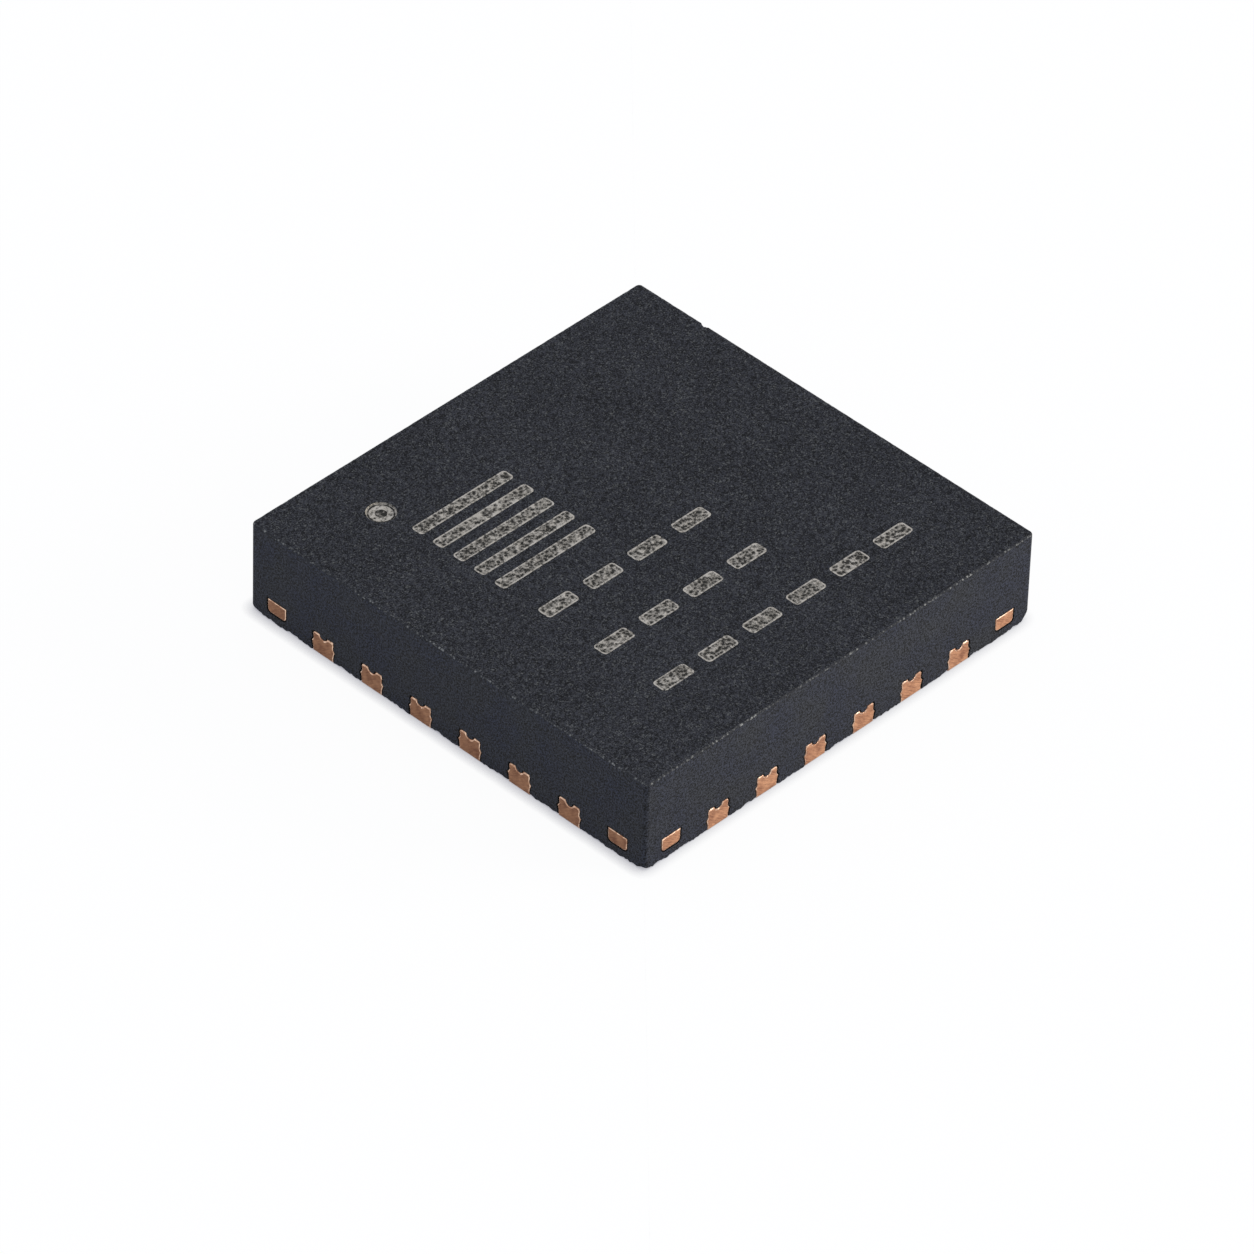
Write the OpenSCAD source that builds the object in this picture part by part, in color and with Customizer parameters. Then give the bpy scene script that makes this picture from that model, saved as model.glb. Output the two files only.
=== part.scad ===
// Square flat no-lead chip package, 24 leads, sawn from a moulded sheet.
// Millimetres. The origin is the middle of the seating plane, +Z up.
// Lead 1 is at the -X side next to the +Y corner, and the count runs counter-clockwise seen from above.

/* [Body] */
// Side of the square moulded body
body_side = 4.0; // [3.8:0.05:5]
// Height from the seating plane to the top of the body
body_top = 0.81; // [0.75:0.01:1]
// Gap between the seating plane and the underside of the mould
standoff = 0.01; // [0.005:0.005:0.05]
// Radius of the four upright edges
upright_edge_r = 0.035; // [0.01:0.005:0.08]

/* [Pin 1 mark] */
// Diameter of the round mark next to lead 1
dot_d = 0.23; // [0.15:0.01:0.5]
// Depth of the mark below the top of the body
dot_depth = 0.012; // [0.004:0.001:0.03]
// Distance from the lead 1 side of the body to the middle of the mark
dot_from_lead_side = 0.755; // [0.4:0.005:1]
// Distance from the neighbouring side of the body to the middle of the mark
dot_from_next_side = 0.57; // [0.4:0.005:1]

/* [Copper sheet] */
// Thickness of the sheet that the leads and the paddle are etched from
sheet_t = 0.2; // [0.16:0.005:0.25]
// Copper left where the sheet is etched away from below
half_etch_t = 0.12; // [0.08:0.005:0.14]

/* [Leads] */
// Number of leads on each side
leads_per_side = 6; // [3:1:6]
// Distance from lead to lead
lead_pitch = 0.5; // [0.4:0.01:0.55]
// Width of a lead across the cusps on its flanks
lead_w = 0.235; // [0.19:0.005:0.3]
// Height of the cusp, where the etch from above meets the etch from below
cusp_z = 0.09; // [0.05:0.005:0.1]
// How far the bottom edge of a lead lies inside its cusp
bottom_undercut = 0.0125; // [0.005:0.0025:0.02]
// How far the shoulder of a lead lies inside its cusp
shoulder_undercut = 0.012; // [0.004:0.002:0.016]
// Height from the shoulder of a lead to its top
shoulder_drop = 0.05; // [0.02:0.005:0.06]
// How far the top edge of a lead lies inside its cusp
top_undercut = 0.045; // [0.02:0.005:0.05]
// Depth of the hollow that the etch leaves above and below the cusp
flank_hollow = 0.01; // [0.004:0.001:0.014]
// Swell of the rounded shoulder
shoulder_swell = 0.011; // [0.002:0.001:0.014]
// Length of the land that a lead shows on the underside
land_l = 0.4; // [0.3:0.01:0.5]
// Length of the half-etched tip that holds a lead in the mould
tip_l = 0.06; // [0.02:0.005:0.1]
// How much more than half the lead's width the round of its inner end is
end_round_extra = 0.0125; // [0.005:0.0025:0.03]
// Depth of the trough etched across the top of a lead at the saw line
trough_depth = 0.018; // [0.01:0.002:0.024]
// Radius of that trough
trough_r = 0.08; // [0.05:0.005:0.1]
// Depth of the dimple etched into the middle of the trough, from the top of the sheet
dimple_depth = 0.055; // [0.04:0.005:0.07]
// Radius of that dimple
dimple_r = 0.04; // [0.036:0.002:0.06]

/* [Exposed pad] */
// Side of the pad on the underside
pad_side = 2.5; // [2.1:0.05:2.6]
// Bevel on the pad's corner next to lead 1
pad_bevel = 0.35; // [0.2:0.05:0.5]
// Radius of the pad's other corners
pad_corner_r = 0.1; // [0.04:0.01:0.2]
// Width of the half-etched rim around the pad
pad_rim = 0.08; // [0.04:0.01:0.1]

/* [Tie bars] */
// Width of a tie-bar end at the saw line
tie_end_w = 0.19; // [0.15:0.01:0.22]
// Width of the diagonal arm between the pad and the fork
tie_arm_w = 0.13; // [0.12:0.005:0.16]
// Distance from the body's corner to the middle of a tie-bar end
tie_from_corner = 0.27; // [0.2:0.01:0.32]
// Radius of a tie bar's etched lower edges
tie_edge_r = 0.035; // [0.02:0.005:0.055]

/* [Die] */
// Side of the square die
die_side = 1.7; // [1.3:0.05:1.9]
// Thickness of the die
die_t = 0.2; // [0.1:0.01:0.24]
// Thickness of the adhesive under the die
attach_t = 0.02; // [0.01:0.002:0.04]
// How far the adhesive spreads past the die
attach_spread = 0.05; // [0.02:0.01:0.1]
// Radius of the corners of the adhesive
attach_corner_r = 0.08; // [0.03:0.01:0.15]

/* [Bond wires] */
// Diameter of the wire
wire_d = 0.025; // [0.018:0.001:0.034]
// Diameter of the ball bond on the die
ball_d = 0.06; // [0.045:0.005:0.08]
// Height of the ball bond's barrel
ball_t = 0.013; // [0.01:0.001:0.018]
// Height of the cone that the bonding tool leaves on the ball
ball_cone_h = 0.012; // [0.006:0.001:0.016]
// Height of the loop's crest above the die
loop_h = 0.13; // [0.11:0.005:0.18]
// Radius of the bend at the crest, to the middle of the wire
bend_r = 0.05; // [0.03:0.005:0.06]
// How much thicker the wire is in that bend, where the straight stretches end inside it
bend_swell = 0.001; // [0.001:0.0005:0.002]
// Distance from the die's edge to a row of ball bonds
ball_from_edge = 0.07; // [0.05:0.005:0.12]
// Distance from the die's corner to the first ball bond of a row
ball_from_corner = 0.22; // [0.15:0.01:0.3]
// Distance from a lead's inner end to the foot of its wire
foot_from_tip = 0.06; // [0.045:0.005:0.09]
// Length of the stitch bond past the wire's foot
stitch_l = 0.06; // [0.04:0.005:0.08]
// Width of the stitch bond
stitch_w = 0.045; // [0.036:0.001:0.06]
// Thickness of the stitch bond
stitch_t = 0.008; // [0.005:0.001:0.012]

/* [Hidden] */
$fn = 48;
// Steps of a round corner
arc_steps = 6;
// Steps of an etched hollow or shoulder
bow_steps = 4;
// How far a cutter runs past what it cuts
past = 0.05;
// How far a straight stretch of wire runs into its bend
lap = 0.004;

half_side = body_side / 2;
lead_count = 4 * leads_per_side;
lead_l = land_l + tip_l;
lead_end_r = lead_w / 2 + end_round_extra;
half_etch_z = sheet_t - half_etch_t;
rim_side = pad_side + 2 * pad_rim;
tie_at = half_side - tie_from_corner;
die_z = sheet_t + attach_t;
die_top = die_z + die_t;
ball_x = ball_from_edge - die_side / 2;
ball_pitch = (die_side - 2 * ball_from_corner) / (leads_per_side - 1);
foot_x = lead_l - foot_from_tip - half_side;
crest_z = die_top + loop_h - bend_r - wire_d / 2;

function two_digits(n) = str(n < 10 ? "0" : "", n);
function lead_name(k) = str("lead_", two_digits(k + 1));
function wire_name(k) = str("bond_wire_", two_digits(k + 1));

// Which side lead k is on, and how many steps it lies from the middle of that side
function side_of(k) = floor(k / leads_per_side);
function steps_of(k) = (leads_per_side - 1) / 2 - k % leads_per_side;

// A curve from one point to another that bulges to its left by swell at the middle, without its last point
function bowed(from, to, swell) = let (
    along = to - from,
    left = [-along.y, along.x] / norm(along)
) [for (i = [0:bow_steps - 1]) let (t = i / bow_steps) from + along * t + left * 4 * swell * t * (1 - t)];

function arc(middle, r, from, to) = [
    for (i = [0:arc_steps]) let (turn = from + (to - from) * i / arc_steps) middle + r * [cos(turn), sin(turn)]
];

// Outline of a square with round corners
function round_square(side, r) = let (c = side / 2 - r) concat(
    arc([c, c], r, 0, 90),
    arc([-c, c], r, 90, 180),
    arc([-c, -c], r, 180, 270),
    arc([c, -c], r, 270, 360)
);

// Outline of the exposed pad, with a bevel next to lead 1 in place of a round corner
function pad_outline() = let (h = pad_side / 2, c = h - pad_corner_r) concat(
    arc([c, c], pad_corner_r, 0, 90),
    [[pad_bevel - h, h], [-h, h - pad_bevel]],
    arc([-c, -c], pad_corner_r, 180, 270),
    arc([c, -c], pad_corner_r, 270, 360)
);

// Section of a tie bar: flat on top, with the lower edges rounded by the etch
function tie_section(w) = concat(
    [[-w / 2, half_etch_t], [-w / 2, tie_edge_r]],
    arc([tie_edge_r - w / 2, tie_edge_r], tie_edge_r, 180, 270),
    arc([w / 2 - tie_edge_r, tie_edge_r], tie_edge_r, 270, 360),
    [[w / 2, half_etch_t]]
);

// One flank of a lead, from the bottom edge over the cusp and the shoulder to the top edge
function flank() = let (
    bottom = [lead_w / 2 - bottom_undercut, 0],
    cusp = [lead_w / 2, cusp_z],
    shoulder = [lead_w / 2 - shoulder_undercut, sheet_t - shoulder_drop],
    top = [lead_w / 2 - top_undercut, sheet_t]
) concat(
    bowed(bottom, cusp, flank_hollow / 2),
    bowed(cusp, shoulder, flank_hollow),
    bowed(shoulder, top, -shoulder_swell),
    [top]
);

// Section of a lead, the same on both flanks
function lead_section() = let (right = flank(), last = len(right) - 1) concat(
    right,
    [for (i = [0:last]) [-right[last - i].x, right[last - i].y]]
);

// Cutter that leaves a round inner end at the given length of a lead, from one height to another
module inner_end_cut(length, from_z, to_z) {
    translate([length - lead_end_r, 0, from_z]) linear_extrude(to_z - from_z) difference() {
        translate([0, -lead_end_r - past]) square([lead_l - length + lead_end_r + past, 2 * (lead_end_r + past)]);
        circle(lead_end_r);
    }
}

// A lead that starts at the saw line and runs inwards along +X
module lead_shape() {
    difference() {
        rotate([90, 0, 90]) linear_extrude(lead_l) polygon(lead_section());
        inner_end_cut(lead_l, -past, sheet_t + past);
        inner_end_cut(land_l, -past, half_etch_z);
        translate([0, 0, sheet_t - trough_depth + trough_r]) rotate([90, 0, 0])
            cylinder(h = lead_w + 2 * past, r = trough_r, center = true);
        translate([0, 0, sheet_t - dimple_depth + dimple_r]) sphere(dimple_r);
    }
}

module place_lead(k) {
    rotate([0, 0, 90 * side_of(k)]) translate([-half_side, steps_of(k) * lead_pitch, 0]) children();
}

module lead(k) {
    color("peru") place_lead(k) lead_shape();
}

module tie_bar() {
    arm_l = sqrt(2) * tie_at;
    end_l = half_side - tie_at + tie_arm_w / 2;
    translate([0, 0, half_etch_z]) {
        rotate([90, 0, 135]) linear_extrude(arm_l) polygon(tie_section(tie_arm_w));
        translate([half_side - end_l, tie_at, 0]) rotate([90, 0, 90])
            linear_extrude(end_l) polygon(tie_section(tie_end_w));
        translate([tie_at, half_side, 0]) rotate([90, 0, 0])
            linear_extrude(end_l) polygon(tie_section(tie_end_w));
    }
}

module die_paddle() {
    color("sandybrown") {
        linear_extrude(sheet_t) polygon(pad_outline());
        translate([0, 0, half_etch_z]) linear_extrude(half_etch_t)
            polygon(round_square(rim_side, pad_corner_r));
        for (corner = [0:3]) rotate([0, 0, 90 * corner]) tie_bar();
    }
}

module die_attach() {
    color("silver") translate([0, 0, sheet_t]) linear_extrude(attach_t)
        polygon(round_square(die_side + 2 * attach_spread, attach_corner_r));
}

module die() {
    color("slategray") translate([-die_side / 2, -die_side / 2, die_z]) cube([die_side, die_side, die_t]);
}

// Outline of a stitch bond: the wire is pressed flat and fans out to a round end
function stitch_outline() = concat(
    [[0, -wire_d / 2]],
    arc([stitch_l - stitch_w / 2, 0], stitch_w / 2, -90, 90),
    [[0, wire_d / 2]]
);

// A squashed ball with a straight barrel, and a cone half-way down to the wire's width
module ball_bond() {
    rotate_extrude() polygon([
        [0, 0],
        [ball_d / 2, 0],
        [ball_d / 2, ball_t],
        [(ball_d + wire_d) / 4, ball_t + ball_cone_h],
        [0, ball_t + ball_cone_h]
    ]);
}

// A wire from a ball bond on the die, rising along +Z, over its bend and down along +X to its foot on a lead
module wire_shape(reach) {
    across = reach - bend_r;
    drop = crest_z - sheet_t;
    slope = atan2(drop, across) + asin(bend_r / norm([across, drop]));
    bend_end = [bend_r + bend_r * sin(slope), crest_z + bend_r * cos(slope)];
    span = norm([reach, sheet_t] - bend_end);
    translate([0, 0, die_top]) ball_bond();
    translate([0, 0, die_top + ball_t]) cylinder(h = crest_z - die_top - ball_t + lap, d = wire_d);
    translate([bend_r, 0, crest_z]) rotate([90, 0, 0]) rotate([0, 0, 90 - slope])
        rotate_extrude(angle = 90 + slope) translate([bend_r, 0]) circle(d = wire_d + bend_swell);
    difference() {
        translate([bend_end.x, 0, bend_end.y]) rotate([0, 90 + slope, 0]) translate([0, 0, -lap])
            cylinder(h = lap + span + past, d = wire_d);
        translate([0, -past, sheet_t - 2 * past]) cube([reach + 2 * past, 2 * past, 2 * past]);
    }
    translate([reach, 0, sheet_t]) linear_extrude(stitch_t) polygon(stitch_outline());
}

module bond_wire(k) {
    ball = [ball_x, steps_of(k) * ball_pitch];
    foot = [foot_x, steps_of(k) * lead_pitch];
    way = foot - ball;
    color("gold") rotate([0, 0, 90 * side_of(k)]) translate([ball.x, ball.y, 0])
        rotate([0, 0, atan2(way.y, way.x)]) wire_shape(norm(way));
}

// The mould fills the block around everything that was set in it
module mould_body() {
    color("#2f3034") difference() {
        translate([0, 0, standoff]) linear_extrude(body_top - standoff)
            polygon(round_square(body_side, upright_edge_r));
        translate([dot_from_lead_side - half_side, half_side - dot_from_next_side, body_top - dot_depth])
            cylinder(h = dot_depth + past, d = dot_d);
        die_paddle();
        die_attach();
        die();
        for (k = [0:lead_count - 1]) {
            lead(k);
            bond_wire(k);
        }
    }
}

mould_body();
die_paddle();
die_attach();
die();
for (k = [0:lead_count - 1]) {
    lead(k);
    bond_wire(k);
}
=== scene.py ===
"""A flat no-lead chip package, dressed for a picture: sawn and moulded epoxy, sawn copper lead ends, tinned lands.

Every piece that shows starts as a merged copy of its CAD node, so it keeps the node's form and place, and gets the
small marks of its making: chipped saw edges, a ragged foot, copper rims painted bright as their highlight, laser
marking.
"""
import math
import random

import bmesh
import bpy
from mathutils import Matrix, Vector, noise


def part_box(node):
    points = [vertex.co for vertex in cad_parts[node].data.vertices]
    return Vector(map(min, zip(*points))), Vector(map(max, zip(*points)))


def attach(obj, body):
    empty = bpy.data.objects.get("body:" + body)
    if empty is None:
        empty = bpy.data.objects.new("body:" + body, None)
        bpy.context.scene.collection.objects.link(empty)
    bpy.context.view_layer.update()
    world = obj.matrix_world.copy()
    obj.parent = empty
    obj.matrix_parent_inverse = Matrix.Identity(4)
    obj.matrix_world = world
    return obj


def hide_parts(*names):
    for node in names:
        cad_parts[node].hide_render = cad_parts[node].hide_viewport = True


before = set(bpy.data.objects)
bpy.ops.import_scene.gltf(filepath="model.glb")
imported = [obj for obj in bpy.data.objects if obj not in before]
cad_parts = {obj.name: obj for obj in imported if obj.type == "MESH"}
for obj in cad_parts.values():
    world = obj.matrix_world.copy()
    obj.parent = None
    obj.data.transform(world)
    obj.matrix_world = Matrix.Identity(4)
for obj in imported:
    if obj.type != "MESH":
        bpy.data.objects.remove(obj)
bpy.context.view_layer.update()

MM = 0.001                              # one millimetre in the scene's metres
SEED = 24
UP = Vector((0, 0, 1))

# Meshes are shaped in millimetres and scaled to metres when they are done
mould_low, mould_high = (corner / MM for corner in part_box("mould_body"))
HALF = mould_high.x                     # from the middle to a sawn side
FOOT = mould_low.z                      # the mould's underside, a standoff above the lands
TOP = mould_high.z

# The sides in the order of the leads: the direction each one faces
SIDES = [Vector((-1, 0, 0)), Vector((0, -1, 0)), Vector((1, 0, 0)), Vector((0, 1, 0))]
LEADS_PER_SIDE = 6

# Reading and cleaning meshes
SAME_POINT = 0.0001                     # points closer than this are one
SAME_PLANE = math.radians(0.5)          # faces that turn less than this are joined
SLIVER = 0.00002                        # edges shorter than this are dissolved
LEVEL = 0.9                             # a face lies level when the upright part of its normal is above this,
STANDING = 0.5                          # stands when it is below this,
UPRIGHT = 0.01                          # and is truly upright when it is below this
SQUARE = 0.99                           # a face looks squarely along a direction when that part is above this

# Softened edges
UPRIGHT_ROUND = 0.035                   # radius of the upright edges, as in the CAD node
RIM_ROUND = 0.011                       # softening of the top edge
GAP_SHADE_ROUND = 0.009                      # softening of the mould's edge along the copper
COPPER_ROUND = 0.009                    # softening of a sawn copper edge
LAND_ROUND = 0.004                      # softening of the tinned lands and pad
POCKET_EDGE = 0.3                       # edges round the copper on a sawn side are all shorter than this

# Chips along the top edge
BAND = 0.03                             # strip along the edge that chips can reach into
RIM_STEP = 0.012                        # spacing of points along it
RIM_WAVE, RIM_UNEVEN = 0.03, 0.0005     # length and mean depth of its finest unevenness
CHIPS_PER_SIDE = 30
CHIP_WIDTH, CHIP_DEPTH = (0.012, 0.03), (0.0003, 0.0013)
CHIP_SLOPE = 0.8                        # a chip goes this share of its depth inwards, and as much down
NICK = (Vector((HALF, 1.32)), 0.022, 0.011)     # the one that shows: its place, width and depth

# The foot
FOOT_STEP = 0.010                       # spacing of points along it
FOOT_WAVES = (0.11, 0.025)              # lengths of its unevenness
FOOT_RAGGED, FOOT_DROP = 0.012, 0.009   # height of the unevenness, and the most that it goes down
FOOT_HELD = 0.1                         # further than this from a corner, points at the copper stay where they are
# Height worn off each corner, by (x > 0, y > 0), and how far from the corner the wear reaches
FOOT_WEAR = {(False, False): 0.03, (True, False): 0.09, (False, True): 0.03, (True, True): 0.05}
WEAR_REACH = 0.055

# The crown of a sawn lead end, and the tinned lands
CROWN_LOW = 0.13                        # the crown starts at this height
HORN_LOW, HORN_RISE = 0.15, 0.03        # a horn is lowered from this height up, in full after this rise
VALLEY_HALF = 0.03                      # half the width of the valley between the horns
CROWN_PLAY = 0.008                      # the most that a horn or the valley is lowered
CROWN_PASSES, CROWN_SMOOTH = 2, 0.3     # smoothing of the crown afterwards
SAW_MARGIN = 0.01                       # a land's edge this close to the saw line has the saw's rim already
TIN_TOP = FOOT * 0.6                    # the tin reaches up to this height

# Laser marks
MARK_LINE = 0.012                       # width of the line that the laser draws round a mark
MARK_PROUD = 0.0015                     # foamed epoxy stands this much above the face
MARK_ROOT = 0.002                       # and reaches this far into it
MARK_ROUND = 0.03                       # radius of a bar's corners
STRIPES, STRIPE_STEP, STRIPE_SIZE = 5, 0.21, (0.95, 0.11)
STRIPE_X, STRIPE_Y = -0.74, 0.26        # middle of the first stripe
BAR_ROWS = [(-1.047, 4, -0.18), (-1.047, 4, -0.74), (-1.026, 6, -1.31)]     # x of the first bar, bars, y of the row
BAR_STEP, BAR_SIZE = 0.453, (0.316, 0.13)
DOT_HIGH, DOT_LOW = 0.008, 0.02         # the round mark's floor lies between these depths,
DOT_CLEAR = 0.2                         # and further than this from the sides

# The stage
FLOOR_HALF = 0.3                        # metres
FLOOR_GAP = 0.002 * MM                  # the floor lies just below the lands
PAPER_OWN = 0.95                        # share of the paper's look that is its own white
SHADE_REACH = 0.10 * MM                 # how far from the package the paper is shaded
SHADE_LEAN = {"X": 0.30, "Y": -0.28, "Z": 0.912}
LAMP_DISTANCE = 0.2                     # metres
LAMPS = [("soft_lamp_right", 47, 14, 0.1, 0.385),       # azimuth and elevation in degrees, size in metres, watts
         ("soft_lamp_above", 0, 88, 0.15, 0.06)]

# The photograph's viewpoint, found by fitting the package's corners
VIEW_AZIMUTH, VIEW_ELEVATION, VIEW_ROLL = (math.radians(v) for v in (-46.7569, 40.4615, 1.9232))
VIEW_DISTANCE = 75.6637 * MM
VIEW_RIGHT, VIEW_UP = -0.0950 * MM, -0.0942 * MM
VIEW_DROP = 0.01 * MM
FRAME_PIXELS, FOCAL_PIXELS = 1254, 10409.0
SENSOR = 36                             # millimetres

# Sockets reached by number: the limits of a Map Range, and the factor, numbers and colours of a Mix and its colour
FROM_A, FROM_B, TO_A, TO_B = 1, 2, 3, 4
FACTOR, NUMBER_A, NUMBER_B, COLOUR_A, COLOUR_B = 0, 2, 3, 6, 7
COLOUR = 2

EPOXY_IOR = 1.5


def linear(hex_colour):
    """An sRGB hex colour as linear RGBA."""
    channels = [int(hex_colour[i:i + 2], 16) / 255 for i in (1, 3, 5)]
    return [c / 12.92 if c <= 0.04045 else ((c + 0.055) / 1.055) ** 2.4 for c in channels] + [1]


def per(size_mm):
    """The texture scale at which one cell of a pattern measures this many millimetres."""
    return 1 / (size_mm * MM)


def feed(tree, node, inputs):
    """Gives a node its inputs: each one is a value, or a socket to link from."""
    for name, value in inputs.items():
        if isinstance(value, bpy.types.NodeSocket):
            tree.links.new(value, node.inputs[name])
        else:
            node.inputs[name].default_value = value


def add(tree, kind, inputs=None, **settings):
    """Adds a node with its settings and its inputs."""
    made = tree.nodes.new(kind)
    for name, value in settings.items():
        setattr(made, name, value)
    feed(tree, made, inputs or {})
    return made


def start(name):
    """A new node material: its tree, its shader, and Object coordinates."""
    material = bpy.data.materials.new(name)
    material.use_nodes = True
    tree = material.node_tree
    place = add(tree, "ShaderNodeTexCoord").outputs["Object"]
    return material, tree, tree.nodes["Principled BSDF"], place


def epoxy_moulded():
    """Silica-filled black epoxy, moulded against a spark-eroded cavity: matt charcoal, sharply and finely grained,
    with pale points where a grain of silica lies at the skin."""
    material, tree, shader, place = start("silica_filled_epoxy_moulded")
    # The cavity's grain is about 10 micrometres across; at 10.2 the top face stays clear of the noise's own grid,
    # where its contrast would be lost
    grain = add(tree, "ShaderNodeTexNoise", {"Vector": place, "Scale": per(0.0102), "Detail": 1.0, "Roughness": 0.6})
    # Coarser unevenness of the eroded cavity
    lumps = add(tree, "ShaderNodeTexNoise", {"Vector": place, "Scale": per(0.04), "Detail": 2.0})
    # Cloudy flow of the compound over half a millimetre
    flow = add(tree, "ShaderNodeTexNoise", {"Vector": place, "Scale": per(0.6), "Detail": 3.0})
    # Silica points, a few in each tenth of a millimetre
    points = add(tree, "ShaderNodeTexVoronoi", {"Vector": place, "Scale": per(0.028), "Randomness": 1.0})
    near = add(tree, "ShaderNodeMapRange", {"Value": points.outputs["Distance"], FROM_A: 0.4, FROM_B: 0.15})
    rare = add(tree, "ShaderNodeMapRange", {"Value": points.outputs["Color"], FROM_A: 0.6, FROM_B: 1.0, TO_B: 0.35})
    silica = add(tree, "ShaderNodeMath", {0: near.outputs[0], 1: rare.outputs[0]}, operation="MULTIPLY")
    rough = add(tree, "ShaderNodeMix", {FACTOR: 0.25, NUMBER_A: grain.outputs["Fac"], NUMBER_B: lumps.outputs["Fac"]})
    light = add(tree, "ShaderNodeMapRange", {"Value": rough.outputs[0], FROM_A: 0.41, FROM_B: 0.61})
    skin = add(tree, "ShaderNodeMix", {FACTOR: light.outputs[0], COLOUR_A: linear("#1c1c1d"),
                                       COLOUR_B: linear("#393a3e")}, data_type="RGBA")
    cloud = add(tree, "ShaderNodeMapRange", {"Value": flow.outputs["Fac"], FROM_A: 0.3, FROM_B: 0.7,
                                             TO_A: 0.9, TO_B: 1.1})
    skin = add(tree, "ShaderNodeMix", {FACTOR: 1.0, COLOUR_A: skin.outputs[COLOUR], COLOUR_B: cloud.outputs[0]},
               data_type="RGBA", blend_type="MULTIPLY")
    # Rims of the craters that the sparks left, in short pale curves, drawn 8 micrometres wide so that they show
    crater = add(tree, "ShaderNodeTexNoise", {"Vector": place, "Scale": per(0.031), "Detail": 0.0, "Distortion": 0.8})
    middle = add(tree, "ShaderNodeMath", {0: crater.outputs["Fac"], 1: 0.5}, operation="SUBTRACT")
    middle = add(tree, "ShaderNodeMath", {0: middle.outputs[0]}, operation="ABSOLUTE")
    rim = add(tree, "ShaderNodeMapRange", {"Value": middle.outputs[0], FROM_A: 0.06, FROM_B: 0.0})
    kept = add(tree, "ShaderNodeMapRange", {"Value": grain.outputs["Fac"], FROM_A: 0.46, FROM_B: 0.62, TO_B: 0.47})
    rim = add(tree, "ShaderNodeMath", {0: rim.outputs[0], 1: kept.outputs[0]}, operation="MULTIPLY")
    skin = add(tree, "ShaderNodeMix", {FACTOR: rim.outputs[0], COLOUR_A: skin.outputs[COLOUR],
                                       COLOUR_B: linear("#76776f")}, data_type="RGBA")
    skin = add(tree, "ShaderNodeMix", {FACTOR: silica.outputs[0], COLOUR_A: skin.outputs[COLOUR],
                                       COLOUR_B: linear("#7c7d78")}, data_type="RGBA")
    # The grain stands about two micrometres high
    relief = add(tree, "ShaderNodeBump", {"Height": rough.outputs[0], "Strength": 1.0, "Distance": 0.004 * MM})
    gloss = add(tree, "ShaderNodeMapRange", {"Value": grain.outputs["Fac"], FROM_A: 0.3, FROM_B: 0.7,
                                             TO_A: 0.9, TO_B: 0.75})
    feed(tree, shader, {"Base Color": skin.outputs[COLOUR], "Roughness": gloss.outputs[0],
                        "Normal": relief.outputs[0], "Specular IOR Level": 0.04, "IOR": EPOXY_IOR})
    return material


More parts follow.
